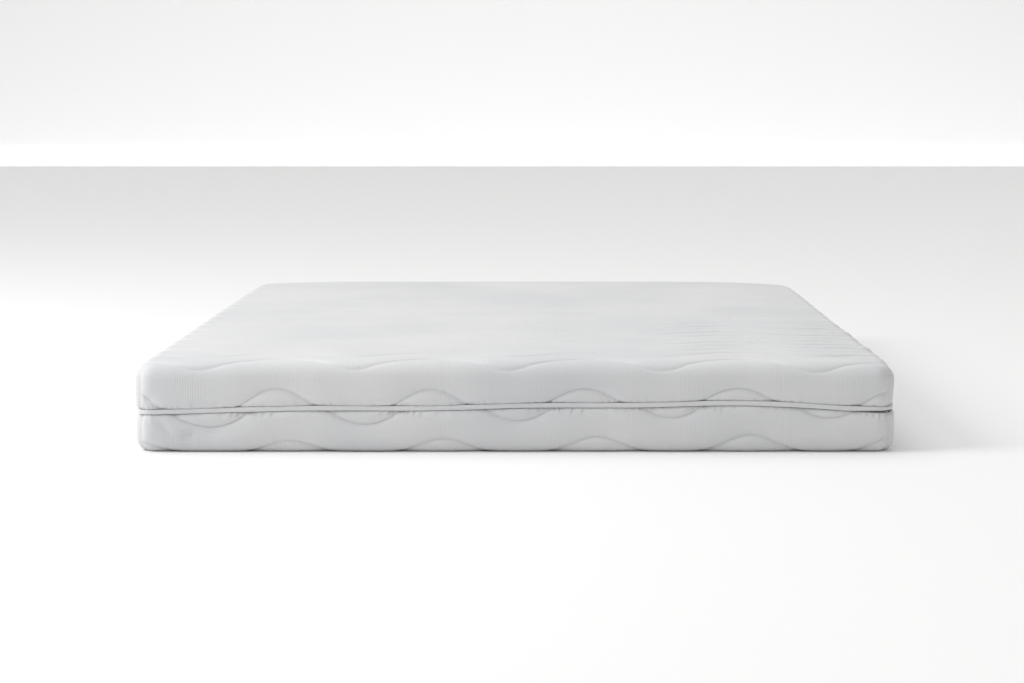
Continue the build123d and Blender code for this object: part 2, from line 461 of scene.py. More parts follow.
FINISHES: dict[str, Finish] = {
    "quilted_knit": RibbedKnit(
        "double_jersey_ticking", "d9d9da", "cecfd1", roughness=0.9, sheen=0.15, relief_mm=0.12
    ),
    "nonwoven_backing": Finish(
        "nonwoven_backing", "e4e4e2", "d6d6d3", roughness=0.95, grain_mm=2.5, relief_mm=0.3
    ),
    "edge_binding": Finish(
        "edge_binding", "e3e3e5", "d7d7da", roughness=0.85, sheen=0.1, grain_mm=0.8, relief_mm=0.15
    ),
    "zip_tape": Finish(
        "woven_zip_tape", "dcdcde", "cfcfd2", roughness=0.8, sheen=0.1, grain_mm=0.7, relief_mm=0.15
    ),
    "zip_coil": Finish(
        "polyester_coil", "e2e2e4", "d4d4d7", roughness=0.35, grain_mm=0.5, relief_mm=0.02
    ),
    "zip_metal": LacqueredMetal("lacquered_zinc", "d9d9db", "bdbdc0", roughness=0.35, metallic=0.6),
    "sock_knit": Finish(
        "cotton_stockinette", "ecebe6", "deddd6", roughness=0.95, sheen=0.2, grain_mm=1.2,
        relief_mm=0.35,
    ),
    "memory_foam": Finish(
        "viscoelastic_foam", "ece3c9", "ddd2b2", roughness=0.9, grain_mm=0.9, relief_mm=0.25
    ),
    "base_foam": Finish(
        "high_resilience_foam", "e3e6e8", "d0d5d9", roughness=0.9, grain_mm=1.4, relief_mm=0.4
    ),
    "foam_glue": Finish(
        "hot_melt_glue", "d8cfae", "c9be98", roughness=0.4, grain_mm=3.0, relief_mm=0.2
    ),
}
_materials: dict[str, bpy.types.Material] = {}


def finish_of(slot: str) -> bpy.types.Material:
    """The material of one of the record's slots, made once.

    Args:
        slot: the slot's name.

    Returns:
        Its material.
    """
    if slot not in _materials:
        _materials[slot] = FINISHES[slot].build()
    return _materials[slot]


def hand_over(piece: bpy.types.Object, body: str, slot: str, *nodes: str) -> None:
    """Gives a piece its finish and hands it to the frame.

    Args:
        piece: the finished piece.
        body: the CAD body it rides on.
        slot: the slot whose finish it has.
        nodes: the CAD nodes it replaces.
    """
    piece.data.materials.append(finish_of(slot))
    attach(piece, body)
    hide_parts(*nodes)


@dataclass(frozen=True)
class CadPiece:
    """A CAD node that is shown as it is, with its finish.

    Args:
        node_name: the node.
        slot: the slot whose finish it has.
    """

    node_name: str
    slot: str

    def build(self) -> list[bpy.types.Object]:
        """Dresses the node.

        Returns:
            The node, alone in a list.
        """
        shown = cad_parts[self.node_name]
        shown.data.materials.clear()
        shown.data.materials.append(finish_of(self.slot))
        return [shown]


# --------------------------------------------------------------------------- forms


@dataclass(frozen=True)
class RoundedForm:
    """A rounded block's upper half, as a cloth that is folded over it meets it.

    Args:
        half_width: half the block's size across the bed.
        half_length: half its size along the bed.
        top: height of its top.
        rim: height where the fold ends.
        plan_radius: rounding of its corners seen from above.
        edge_radius: rounding of its edge round the top.
    """

    half_width: float
    half_length: float
    top: float
    rim: float
    plan_radius: float
    edge_radius: float

    @property
    def corner(self) -> Array:
        """Centre of the plan's corner arc, for the corner at +X, +Y."""
        return np.array([self.half_width - self.plan_radius, self.half_length - self.plan_radius])

    @property
    def drop(self) -> float:
        """Length of cloth from the corner's centre line out and down to the rim."""
        flat = self.plan_radius - self.edge_radius
        return flat + self.edge_radius * math.pi / 2 + self.top - self.edge_radius - self.rim

    @property
    def cloth(self) -> Array:
        """Half the cut cloth's size, across and along the bed."""
        return self.corner + self.drop

    def fold(self, flat: Array) -> "Folded":
        """Folds flat cloth over the block.

        Args:
            flat: (n, 2) places on the cloth, measured from its middle.

        Returns:
            Where each place comes to lie.
        """
        side = np.sign(flat) + (flat == 0)
        over = np.abs(flat) - self.corner
        far = np.maximum(over.max(axis=1), 0.0)
        near = np.clip(over.min(axis=1), 0.0, None)
        angle = np.where(far > 0, near / np.maximum(far, 1e-9), 0.0) * math.pi / 4
        long_side = over[:, 0] > over[:, 1]
        radial = np.stack(
            [
                np.where(long_side, np.cos(angle), np.sin(angle)),
                np.where(long_side, np.sin(angle), np.cos(angle)),
            ],
            axis=1,
        )
        flat_part = self.plan_radius - self.edge_radius
        turn = np.clip((far - flat_part) / self.edge_radius, 0.0, math.pi / 2)
        down = np.maximum(far - flat_part - self.edge_radius * math.pi / 2, 0.0)
        out = np.minimum(far, flat_part) + self.edge_radius * np.sin(turn)
        height = self.top - self.edge_radius * (1 - np.cos(turn)) - down
        inner = np.minimum(np.abs(flat), self.corner)
        in_corner = (over[:, 0] > 0) & (over[:, 1] > 0)
        places = np.column_stack([side * (inner + out[:, None] * radial), height])
        normals = np.column_stack([side * radial * np.sin(turn)[:, None], np.cos(turn)])
        true = np.abs(flat).copy()
        arc = self.corner + (out * angle)[:, None]
        true[:, 0] = np.where(in_corner & ~long_side, arc[:, 0], true[:, 0])
        true[:, 1] = np.where(in_corner & long_side, arc[:, 1], true[:, 1])
        seam_gap = np.where(in_corner, out * (math.pi / 4 - angle), 1.0)
        return Folded(places, normals, true * side, turn, down, seam_gap)


@dataclass(frozen=True)
class Folded:
    """Cloth that lies on a form.

    Args:
        places: (n, 3) where it lies.
        normals: (n, 3) which way its face looks.
        fabric: (n, 2) its own coordinates, true to length at the corners too.
        turn: how far round the edge's curve each place is, in radians.
        down: how far below that curve it is.
        seam_gap: distance to the corner seam; 1 where there is none near.
    """

    places: Array
    normals: Array
    fabric: Array
    turn: Array
    down: Array
    seam_gap: Array


@dataclass(frozen=True)
class NeedleRows:
    """The quilting: rows of stitches in one gentle wave, side by side along the bed.

    Args:
        spacing: from one row to the next.
        wavelength: of the wave, across the bed.
        swing: its half height.
        crest: where one crest lies, across the bed.
        first: the first row's middle line, along the bed.
        lean: how much the rows drift out of square.
    """

    spacing: float
    wavelength: float
    swing: float
    crest: float
    first: float
    lean: float

    def wave(self, across: Array) -> Array:
        """How far a row's line lies from its middle line."""
        return self.swing * np.cos(2 * math.pi * (across - self.crest) / self.wavelength) + (
            self.lean * across
        )

    def row_number(self, fabric: Array) -> Array:
        """Rows counted from the first, whole on a row and broken between two."""
        return (fabric[:, 1] - self.first - self.wave(fabric[:, 0])) / self.spacing

    def distance(self, fabric: Array) -> Array:
        """How far each place is from its nearest row, square to the row.

        Args:
            fabric: (n, 2) places on the cloth.

        Returns:
            A distance for each place, below 0 on the row's near side.
        """
        number = self.row_number(fabric)
        steep = self.swing * 2 * math.pi / self.wavelength
        slope = steep * np.sin(2 * math.pi * (fabric[:, 0] - self.crest) / self.wavelength)
        return (number - np.round(number)) * self.spacing / np.sqrt(1 + slope * slope)


# --------------------------------------------------------------------------- zip line


@dataclass(frozen=True)
class ZipLine:
    """The line that the zip takes round the cover, with the slack it has at the foot end.

    Args:
        form: the cover's outline.
        level: the zip's height where it runs straight.
        foot: (across, height) points of its slack at the foot end.
        head: the same at the head end.
        left: (along, height) points of its slack on the left side.
        lean_over: how far each flap leans over the zip.
        lean_until: up to where across the bed the flaps lean fully.
        gape_from: from where they no longer lean, so that the slider passes.
        straight_from: how far behind the foot end the slider's side becomes straight.
    """

    form: RoundedForm
    level: float
    foot: tuple[tuple[float, float], ...] = (
        (-0.80, -0.0165),
        (-0.66, -0.0120),
        (-0.45, -0.0068),
        (-0.15, -0.0060),
        (0.02, -0.0008),
        (0.25, 0.0000),
        (0.47, 0.0042),
        (0.60, 0.0000),
        (0.70, -0.0065),
        (0.80, -0.0095),
    )
    head: tuple[tuple[float, float], ...] = (
        (-0.80, -0.0060),
        (-0.45, -0.0030),
        (-0.10, 0.0030),
        (0.30, -0.0020),
        (0.65, -0.0050),
        (0.80, 0.0),
    )
    left: tuple[tuple[float, float], ...] = (
        (-1.00, -0.0165),
        (-0.82, -0.0090),
        (-0.50, -0.0020),
        (-0.10, -0.0045),
        (0.35, 0.0015),
        (0.75, -0.0040),
        (1.00, -0.0060),
    )
    lean_over: float = 0.0026
    lean_until: float = 0.70
    gape_from: float = 0.785
    straight_from: float = 0.085

    def stray(self, places: Array) -> Array:
        """How far above or below its level the zip lies.

        Args:
            places: places round the cover, across and along the bed.

        Returns:
            One height for each place.
        """
        x, y = places[:, 0], places[:, 1]
        foot = flowing_line(x, self.foot)
        head = flowing_line(x, self.head)
        left = flowing_line(y, self.left)
        foot_end = self.foot[-1][1]
        right = foot_end * (1 - smoothstep(y + self.form.half_length, 0.0, self.straight_from))
        side = np.where(x < 0, left, right)
        corner = self.form.corner[1]
        at_foot = smoothstep(-y, corner, self.form.half_length)
        at_head = smoothstep(y, corner, self.form.half_length)
        return foot * at_foot + head * at_head + side * (1 - at_foot - at_head)

    def lip(self, places: Array) -> Array:
        """How far each flap leans over the zip; they gape on the slider's side."""
        return self.lean_over * (1 - smoothstep(places[:, 0], self.lean_until, self.gape_from))

    def along(self, distance: Array, inset: Array) -> tuple[Array, Array]:
        """Places on the cover's outline, shrunk by inset.

        Args:
            distance: along the outline, from the middle of the foot end towards +X.
            inset: how far inside the outline.

        Returns:
            (n, 2) places and (n, 2) outward directions.
        """
        radius = self.form.plan_radius
        cx, cy = self.form.corner
        arc = radius * math.pi / 2
        runs = [cx, arc, 2 * cy, arc, 2 * cx, arc, 2 * cy, arc, cx]
        ends = np.cumsum(runs)
        d = np.mod(distance, ends[-1])
        part = np.searchsorted(ends, d, side="right").clip(0, 8)
        into = d - np.concatenate([[0], ends])[part]
        quarter = (part // 2) % 4
        on_arc = part % 2 == 1
        facing = -math.pi / 2 + quarter * math.pi / 2
        angle = facing + np.where(on_arc, into / radius, 0.0)
        outward = np.stack([np.cos(angle), np.sin(angle)], axis=1)
        tangent = np.stack([-np.sin(facing), np.cos(facing)], axis=1)
        turning = np.array([[cx, -cy], [cx, cy], [-cx, cy], [-cx, -cy]])
        starts = np.array([[0.0, -cy], [cx, -cy], [cx, cy], [-cx, cy], [-cx, -cy]])
        start = starts[(part + 1) // 2]
        centre = np.where(on_arc[:, None], turning[quarter], start + tangent * into[:, None])
        return centre + outward * (radius - inset)[:, None], outward

    @property
    def length(self) -> float:
        """The outline's whole length."""
        return 4 * self.form.corner.sum() + 2 * math.pi * self.form.plan_radius


@dataclass(frozen=True)
class Settling:
    """How cover and core have settled together, more at the edges than in the middle.

    Args:
        crown: how much the middle stands above the nominal height.
        edge: how much the edges lie below it.
        left: how much further the left side hangs.
        right: the same for the right side, where the cover is slack.
        from_height: nothing below this height moves.
        full_height: everything above this one moves fully.
        half_width: where the sides are.
        half_length: where the ends are.
        foot_share: how much less the sides hang right at the foot end.
        foot_from: how far down the bed that begins.
        side_power: how sharply the height falls off towards the sides.
        end_power: the same towards the ends.
        hang_power: how close to the sides the extra hang stays.
    """

    crown: float = 0.003
    edge: float = 0.0040
    left: float = 0.0045
    right: float = 0.0105
    from_height: float = 0.127
    full_height: float = 0.176
    half_width: float = 0.8
    half_length: float = 1.0
    foot_share: float = 0.45
    foot_from: float = 0.55
    side_power: int = 6
    end_power: int = 8
    hang_power: int = 7

    def at(self, places: Array) -> Array:
        """How far each place has risen, or sunk where it is below 0.

        Args:
            places: (n, 3) places before the settling.

        Returns:
            One height for each place.
        """
        x, y, z = places.T
        across = np.clip(np.abs(x) / self.half_width, 0.0, 1.0)
        along = np.clip(np.abs(y) / self.half_length, 0.0, 1.0)
        near_foot = smoothstep(-y, self.foot_from, self.half_length)
        hang = np.where(x > 0, self.right, self.left) * (1 - self.foot_share * near_foot)
        fall = self.edge * (across**self.side_power + along**self.end_power)
        fall += hang * across**self.hang_power
        return (self.crown - fall) * smoothstep(z, self.from_height, self.full_height)


SETTLED = Settling()


# --------------------------------------------------------------------------- quilted cover


@dataclass(frozen=True)
class Crease:
    """A short, soft furrow in the cloth.

    Args:
        middle: where its middle lies.
        direction: which way it runs.
        reach: half its length.
        width: half its width.
        depth: how deep it is.
    """

    middle: Place
    direction: Place
    reach: float
    width: float
    depth: float

    def at(self, places: Array) -> Array:
        """The furrow's height at each place.

        Args:
            places: (n, 3) places on the cloth.

        Returns:
            One height for each place, 0 or less.
        """
        from_middle = places - np.array(self.middle)
        to = np.array(self.direction) / np.linalg.norm(self.direction)
        ahead = from_middle @ to
        aside = np.linalg.norm(from_middle - ahead[:, None] * to, axis=1)
        return -self.depth * np.exp(-((ahead / self.reach) ** 2) - (aside / self.width) ** 2)


@dataclass(frozen=True)
class LooseFolds:
    """The folds across the top, right of the foot end, where the cover is slack.

    Args:
        across: where they start, are full, fade and end, across the cloth.
        along: the same along the cloth.
        spacing: from one fold to the next.
        width: half the width of the crease between two folds.
        lift: how high the folds stand.
        depth: how deep the creases cut into them.
        bend: how much of the quilting's wave they follow.
    """

    across: tuple[float, float, float, float] = (0.26, 0.50, 0.80, 0.90)
    along: tuple[float, float, float, float] = (-0.98, -0.86, -0.30, 0.02)
    spacing: float = 0.066
    width: float = 0.0085
    lift: float = 0.0034
    depth: float = 0.0120
    bend: float = 0.55

    def within(self, at: Array, stretch: tuple[float, float, float, float]) -> Array:
        """How much of the folds there is along one direction of the cloth.

        Args:
            at: places along that direction.
            stretch: where the folds start, are full, fade and end.

        Returns:
            A share from 0 to 1 for each place.
        """
        start, full, fade, end = stretch
        return smoothstep(at, start, full) * (1 - smoothstep(at, fade, end))

    def at(self, folded: Folded, rows: NeedleRows) -> Array:
        """The folds' height over the cloth.

        Args:
            folded: the cloth.
            rows: its quilting.

        Returns:
            One height for each place.
        """
        x, y = folded.fabric[:, 0], folded.fabric[:, 1]
        loose = self.within(x, self.across) * self.within(y, self.along)
        number = (y - self.bend * rows.wave(x)) / self.spacing
        from_crease = (number - np.round(number)) * self.spacing
        crease = np.exp(-((from_crease / self.width) ** 2))
        patchy = 0.7 + 0.5 * drift(folded.places * (1.0, 3.0, 1.0), size=0.18, seed=21.0)
        return loose * patchy * (self.lift - self.depth * crease)


@dataclass
class QuiltedHalf:
    """One half of the cover: a quilt that was stitched flat, cut, folded and sewn at its corners.

    Args:
        half: the upper or the lower half.
        form: the rounded block it covers, in the upper half's sense.
        rows: its quilting.
        zip_line: where its rim runs.
        stands_for: the CAD nodes it replaces.
        creases: short furrows in its face.
        folds: folds of slack cloth, where it has them.
        hem_reach: how far the hem stands past the wadding's edge; 0 with a separate flap.
        hem_fade: over what height the wadding thins out above the hem.
        column_step: from one mesh line to the next, across the bed.
        samples_per_row: how many mesh lines there are from one needle row to the next.
        bunching: how closely those lines crowd at a needle row.
        wall: how thick the quilt is.
        hem_wall: how thick its hem is.
        least_wall: the least that a groove leaves of either.
        hem_roll: radius of the rim's rounded edge.
        groove_depth: how deep the thread pulls the face in.
        groove_width: half the width of that groove.
        puff_height: how far the wadding stands up between two rows.
        calm_top: how much flatter the quilting lies on the stretched top.
        calm_bend: the same on the bend at the foot end.
        seam_depth: how deep the corner seams lie.
        seam_width: half their width.
        quilt_from_seam: from where to where beside a corner seam the quilting starts.
        top_from_foot: where the stretched top starts, from the foot end.
        top_from_side: the same from the sides.
        bend_in: where round the edge, in radians, the calm bend starts.
        bend_out: where it ends.
        seam_turn: where round the edge the corner seams start.
        tuck: how much the rows' wave is drawn in at a corner, so that both sides meet.
        tuck_reach: how far from the corner that works.
        row_stretch: a needle row's length for each metre across.
        lip_reach: how much of the rim leans over the zip.
        shortest_edge: mesh edges below this are joined.
    """

    half: Half
    form: RoundedForm
    rows: NeedleRows
    zip_line: ZipLine
    stands_for: tuple[str, ...]
    creases: tuple[Crease, ...]
    folds: LooseFolds | None = None
    hem_reach: float = 0.0
    hem_fade: float = 0.008
    column_step: float = 0.0065
    samples_per_row: int = 15
    bunching: float = 0.68
    wall: float = 0.0134
    hem_wall: float = 0.0062
    least_wall: float = 0.0012
    hem_roll: float = 0.0042
    groove_depth: float = 0.0044
    groove_width: float = 0.0036
    puff_height: float = 0.0032
    calm_top: float = 0.85
    calm_bend: float = 0.45
    seam_depth: float = 0.0022
    seam_width: float = 0.0040
    quilt_from_seam: tuple[float, float] = (0.0015, 0.016)
    top_from_foot: tuple[float, float] = (0.10, 0.20)
    top_from_side: tuple[float, float] = (0.01, 0.05)
    bend_in: tuple[float, float] = (0.1, 0.5)
    bend_out: tuple[float, float] = (1.1, 1.57)
    seam_turn: tuple[float, float] = (0.25, 1.0)
    tuck: float = 0.45
    tuck_reach: float = 0.06
    row_stretch: float = 1.12
    lip_reach: float = 0.006
    shortest_edge: float = 0.0002

    def stitched_cloth(self) -> bmesh.types.BMesh:
        """The flat quilt, its mesh lines running along the needle rows, cut to size.

        Returns:
            A closed flat slab; z is 0 on the face and -1 on the back.
        """
        across, along = self.form.cloth
        spacing = self.rows.spacing
        spare_rows = 3
        row_count = math.ceil(2 * along / spacing) + spare_rows
        columns = 2 * round(across / self.column_step)
        lines = row_count * self.samples_per_row
        bm = bmesh.new()
        bmesh.ops.create_grid(bm, x_segments=columns, y_segments=lines, size=1.0)
        grid = np.array([v.co[:2] for v in bm.verts])
        number = (grid[:, 1] + 1) / 2 * row_count - spare_rows / 2
        number -= self.bunching * np.sin(2 * math.pi * number) / (2 * math.pi)
        flat = np.column_stack([grid[:, 0] * across, self.rows.first + number * spacing])
        over = np.abs(flat) - self.form.corner
        near_end = smoothstep(over[:, 1], -self.tuck_reach, self.tuck_reach)
        tucked = self.tuck * np.maximum(over[:, 0], 0.0) * near_end
        wave = self.rows.wave(flat[:, 0] - np.sign(flat[:, 0]) * tucked)
        for vert, place, shift in zip(bm.verts, flat, wave):
            vert.co = (place[0], place[1] + shift, 0.0)
        for end in (-1, 1):
            bmesh.ops.bisect_plane(
                bm,
                geom=bm.verts[:] + bm.edges[:] + bm.faces[:],
                plane_co=(0, end * along, 0),
                plane_no=(0, end, 0),
                clear_outer=True,
            )
        loose = [v for v in bm.verts if not v.link_faces]
        bmesh.ops.delete(bm, geom=loose, context="VERTS")
        bmesh.ops.dissolve_degenerate(bm, dist=self.shortest_edge, edges=bm.edges[:])
        bm.normal_update()
        bmesh.ops.solidify(bm, geom=bm.faces[:], thickness=1.0)
        return bm

    def relief(self, folded: Folded) -> Array:
        """What stitches, wadding and seams add to the plain form.

        Args:
            folded: the quilt's face.

        Returns:
            One height for each place.
        """
        distance = self.rows.distance(folded.fabric)
        number = self.rows.row_number(folded.fabric)
        groove = 1 / (1 + (distance / self.groove_width) ** 2)
        puff = np.sin(math.pi * (number - np.round(number))) ** 2
        quilt = self.puff_height * np.sqrt(puff) - self.groove_depth * groove
        quilt *= smoothstep(folded.seam_gap, *self.quilt_from_seam)
        if self.half is Half.UPPER:
            from_side = self.form.half_width - np.abs(folded.places[:, 0])
            from_foot = self.form.half_length + folded.places[:, 1]
            stretched = smoothstep(from_foot, *self.top_from_foot)
            stretched *= smoothstep(from_side, *self.top_from_side)
            on_bend = smoothstep(folded.turn, *self.bend_in)
            on_bend *= 1 - smoothstep(folded.turn, *self.bend_out)
            quilt *= 1 - self.calm_top * stretched
            quilt *= 1 - self.calm_bend * on_bend * (from_foot < self.form.edge_radius)
        on_edge = smoothstep(folded.turn, *self.seam_turn)
        seam = self.seam_depth * np.exp(-((folded.seam_gap / self.seam_width) ** 2)) * on_edge
        return quilt - seam

    def slack(self, folded: Folded) -> Array:
        """What soft swells, folds and creases add, where the cloth isn't pulled tight.

        Args:
            folded: the quilt's face.

        Returns:
            One height for each place.
        """
        border = folded.turn > 0.4
        swell = 0.0008 * drift(folded.places, size=0.40, seed=3.0)
        swell += 0.0005 * drift(folded.places, size=0.12, seed=8.0) * border
        folds = self.folds.at(folded, self.rows) if self.folds else 0.0
        return swell + folds + sum(crease.at(folded.places) for crease in self.creases)

    def folded_places(self, slab: Array) -> tuple[Array, Folded]:
        """Folds the slab's vertices over the form.

        Args:
            slab: (n, 3) flat places, z 0 on the face and -1 on the back.

        Returns:
            Their places, and how the face's cloth lies there.
        """
        folded = self.form.fold(slab[:, :2])
        face = slab[:, 2] > -0.5
        wall_height = self.form.top - self.form.edge_radius - self.form.rim
        to_rim = np.clip(wall_height - folded.down, 0.0, None)
        roll = self.hem_roll
        into = np.clip(roll - to_rim, 0.0, roll)
        hem = roll - np.sqrt(np.clip(roll**2 - into**2, 0.0, None))
        face_height = self.relief(folded) + self.slack(folded) - hem
        back_inset = np.full(len(slab), self.wall)
        if self.hem_reach:
            thin = 1 - smoothstep(to_rim, self.hem_reach, self.hem_reach + self.hem_fade)
            back_inset += (self.hem_wall - self.wall) * thin
        face_height = np.maximum(face_height, self.least_wall - back_inset)
        height = np.where(face, face_height, -back_inset)
        places = folded.places + folded.normals * height[:, None]
        if self.half is Half.UPPER:
            places[:, 2] += SETTLED.at(folded.places)
        rim_share = smoothstep(folded.down, 0.0, wall_height)
        stray = self.zip_line.stray(folded.places)
        if self.half is Half.LOWER:
            places[:, 2] = 2 * self.zip_line.level - places[:, 2]
            places[:, 2] = np.where(face, np.maximum(places[:, 2], 0.0), places[:, 2])
            at_rim = smoothstep(folded.down, wall_height - self.lip_reach, wall_height)
            places[:, 2] += self.zip_line.lip(folded.places) * at_rim
        places[:, 2] += stray * rim_share
        return places, folded

    def line_the_back(self, mesh: bpy.types.Mesh, slab: Array) -> None:
        """Gives the faces of the quilt's back the backing's material.

        Args:
            mesh: the folded quilt, which has its knit's material already.
            slab: its vertices' places while it lay flat.
        """
        mesh.materials.append(finish_of("nonwoven_backing"))
        on_back = slab[:, 2] < -0.5
        lined = [all(on_back[v] for v in face.vertices) for face in mesh.polygons]
        mesh.polygons.foreach_set("material_index", np.array(lined, np.int32))

    def build(self) -> list[bpy.types.Object]:
        """Makes the piece, dresses it and hands it to the frame.

        Returns:
            The piece, alone in a list.
        """
        bm = self.stitched_cloth()
        if self.half is Half.LOWER:
            bmesh.ops.reverse_faces(bm, faces=bm.faces[:])
        slab = np.array([v.co for v in bm.verts])
        places, folded = self.folded_places(slab)
        piece = piece_from(bm, self.half.named("quilted_cover"))
        put_vertices(piece.data, places)
        write_uv(piece.data, "fabric", folded.fabric)
        number = self.rows.row_number(folded.fabric)
        sewn = folded.fabric[:, 0] * self.row_stretch
        write_uv(piece.data, "needle", np.column_stack([number, sewn]))
        hand_over(piece, self.half.named("cover"), "quilted_knit", *self.stands_for)
        self.line_the_back(piece.data, slab)
        return [piece]


# --------------------------------------------------------------------------- zip band


def squared(value: Array, power: float) -> Array:
    """A circle's sine or cosine, pushed out towards a square's."""
    return np.sign(value) * np.abs(value) ** power


def swept_strip(
    name: str, stations: int, section: int, shape: Callable[[Array, Array], Array], ring: bool
) -> bpy.types.Object:
    """A long strip with a closed section, shaped from a flat grid.

    Args:
        name: the piece's name.
        stations: how many steps it has along its length.
        section: how many steps it has round its section.
        shape: gives each vertex's place from its share of the length and of the section.
        ring: whether the two ends meet.

    Returns:
        The new object.
    """
    bm = bmesh.new()
    bmesh.ops.create_grid(bm, x_segments=stations, y_segments=section, size=0.5)
    share = np.array([v.co[:2] for v in bm.verts]) + 0.5
    for vert, place in zip(bm.verts, shape(share[:, 0], share[:, 1])):
        vert.co = place
    bmesh.ops.remove_doubles(bm, verts=bm.verts[:], dist=WELD)
    if not ring:
        open_edges = [e for e in bm.edges if e.is_boundary]
        bmesh.ops.holes_fill(bm, edges=open_edges, sides=0)
    bmesh.ops.recalc_face_normals(bm, faces=bm.faces[:])
    return piece_from(bm, name)


@dataclass
class ZipBand:
    """What is sewn to one rim: a folded flap, the tape, the coil and the edge binding.

    The lower half's flap is the hem of its quilt, so only the upper one is a piece of its own.

    Args:
        half: the upper or the lower half.
        zip_line: where the zip runs.
        open_at: where the chain is open round the parked slider, along the outline.
        open_length: how long that opening is; 0 for a closed ring.
        flap_depth: how far the flap's roll reaches inwards.
        flap_proud: how far it stands out from the CAD flap.
        flap_plump: how much its front swells and sinks.
        flap_swell: the same for its upper and lower edge.
        flap_power: how square its section is; 1 is round.
        tape_thick: the woven tape's thickness.
        coil_thick: the coil's depth.
        coil_pitch: from one loop to the next.
        coil_swell: how much a loop stands out between its neighbours.
        coil_tip: how far a loop's tip reaches towards the other coil.
        binding_thick: the edge binding's thickness.
        binding_power: how square its section is.
        binding_ripple: how high it puckers between two stitches.
        binding_ripples: how many such puckers it has.
    """

    half: Half
    zip_line: ZipLine
    open_at: float
    open_length: float
    flap_depth: float = 0.0058
    flap_proud: float = 0.0012
    flap_plump: float = 0.0009
    flap_swell: float = 0.0003
    flap_power: float = 0.75
    tape_thick: float = 0.0006
    coil_thick: float = 0.003
    coil_pitch: float = 0.0030  # a real coil's pitch is half this; drawn coarser, so that it shows
    coil_swell: float = 0.14
    coil_tip: float = 0.0002
    binding_thick: float = 0.0032
    binding_power: float = 0.5
    binding_ripple: float = 0.00012
    binding_ripples: int = 900

    def path(self, share: Array, opening: float = 0.0) -> Array:
        """Distance along the outline for each share of a strip that leaves an opening."""
        return self.open_at + opening / 2 + share * (self.zip_line.length - opening)

    def placed(
        self, share: Array, inset: Array, height: Array, opening: float = 0.0
    ) -> Array:
        """Places at an inset and a height above the zip's own line.

        Args:
            share: each vertex's share of the strip's length.
            inset: how far each lies inside the outline.
            height: how far each lies from the zip's line, towards the strip's own half.
            opening: how much of the outline the strip leaves free.

        Returns:
            (n, 3) places.
        """
        distance = self.path(share, opening)
        plan, _ = self.zip_line.along(distance, inset)
        outline, _ = self.zip_line.along(distance, np.zeros_like(inset))
        stray = self.zip_line.stray(outline)
        return np.column_stack([plan, self.zip_line.level + stray + self.half.value * height])

    def ring_size(self, node_name: str) -> tuple[float, float, float]:
        """Where a CAD ring lies.

        Args:
            node_name: the ring's node.

        Returns:
            Its inset, and how far its near and its far edge are from the zip's line.
        """
        low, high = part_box(node_name)
        near, far = sorted(abs(z - self.zip_line.level) for z in (low.z, high.z))
        return self.zip_line.form.half_width - high.x, near, far

    def flap(self) -> bpy.types.Object:
        """The folded strip of knit that lies over the zip, plump like a roll.

        Returns:
            The piece.
        """
        node_name = self.half.named("zip_flap")
        outer, near, far = self.ring_size(node_name)
        middle, reach = (near + far) / 2, (far - near) / 2

        def shape(share: Array, turn: Array) -> Array:
            """Places on the roll.

            Args:
                share: each vertex's share of the strip's length.
                turn: its share of the way round the section.

            Returns:
                (n, 3) places.
            """
            c, s = np.cos(2 * math.pi * turn), np.sin(2 * math.pi * turn)
            plan, _ = self.zip_line.along(self.path(share), np.zeros_like(turn))
            here = np.column_stack([plan, np.zeros(len(plan))])
            swell = drift(here, size=0.09, seed=5.0)
            plump = self.flap_plump * swell * (c > 0)
            out = squared(c, self.flap_power) * (self.flap_depth / 2 + plump)
            up = squared(s, self.flap_power) * (reach + self.flap_swell * swell)
            up -= self.zip_line.lip(here) * (s < UNDER)
            inset = outer + self.flap_depth / 2 - self.flap_proud - out
            return self.placed(share, inset, middle + up)

        piece = swept_strip(f"{node_name}_roll", 900, 16, shape, True)
        places = vertex_places(piece.data)
        along = places[:, 0] + places[:, 1]
        write_uv(piece.data, "fabric", np.column_stack([along, places[:, 2]]))
        write_uv(piece.data, "needle", np.full((len(places), 2), NO_STITCHES))
        hand_over(piece, self.half.named("cover"), "quilted_knit", node_name)
        return piece

    def tape(self) -> bpy.types.Object:
        """The woven tape that carries the coil.

        Returns:
            The piece.
        """
        node_name = self.half.named("zip_tape")
        outer, near, far = self.ring_size(node_name)

        def shape(share: Array, turn: Array) -> Array:
            """Places on the tape's four long edges.

            Args:
                share: each vertex's share of the strip's length.
                turn: its share of the way round the section.

            Returns:
                (n, 3) places.
            """
            angle = 2 * math.pi * (turn + 0.125)
            back = 0.5 - 0.5 * np.sign(np.round(np.cos(angle), 3))
            height = np.where(np.sin(angle) > 0, far, near)
            return self.placed(share, outer + self.tape_thick * back, height, self.open_length)

        piece = swept_strip(f"{node_name}_woven", 700, 4, shape, self.open_length == 0)
        piece.data.polygons.foreach_set("use_smooth", [False] * len(piece.data.polygons))
        hand_over(piece, self.half.named("cover"), "zip_tape", node_name)
        return piece

    def coil(self) -> bpy.types.Object:
        """The coil's loops, side by side like a string of teeth.

        Returns:
            The piece.
        """
        node_name = self.half.named("zip_coil")
        outer, near, far = self.ring_size(node_name)
        loops = round((self.zip_line.length - self.open_length) / self.coil_pitch)
        offset = 0.5 if self.half is Half.LOWER else 0.0

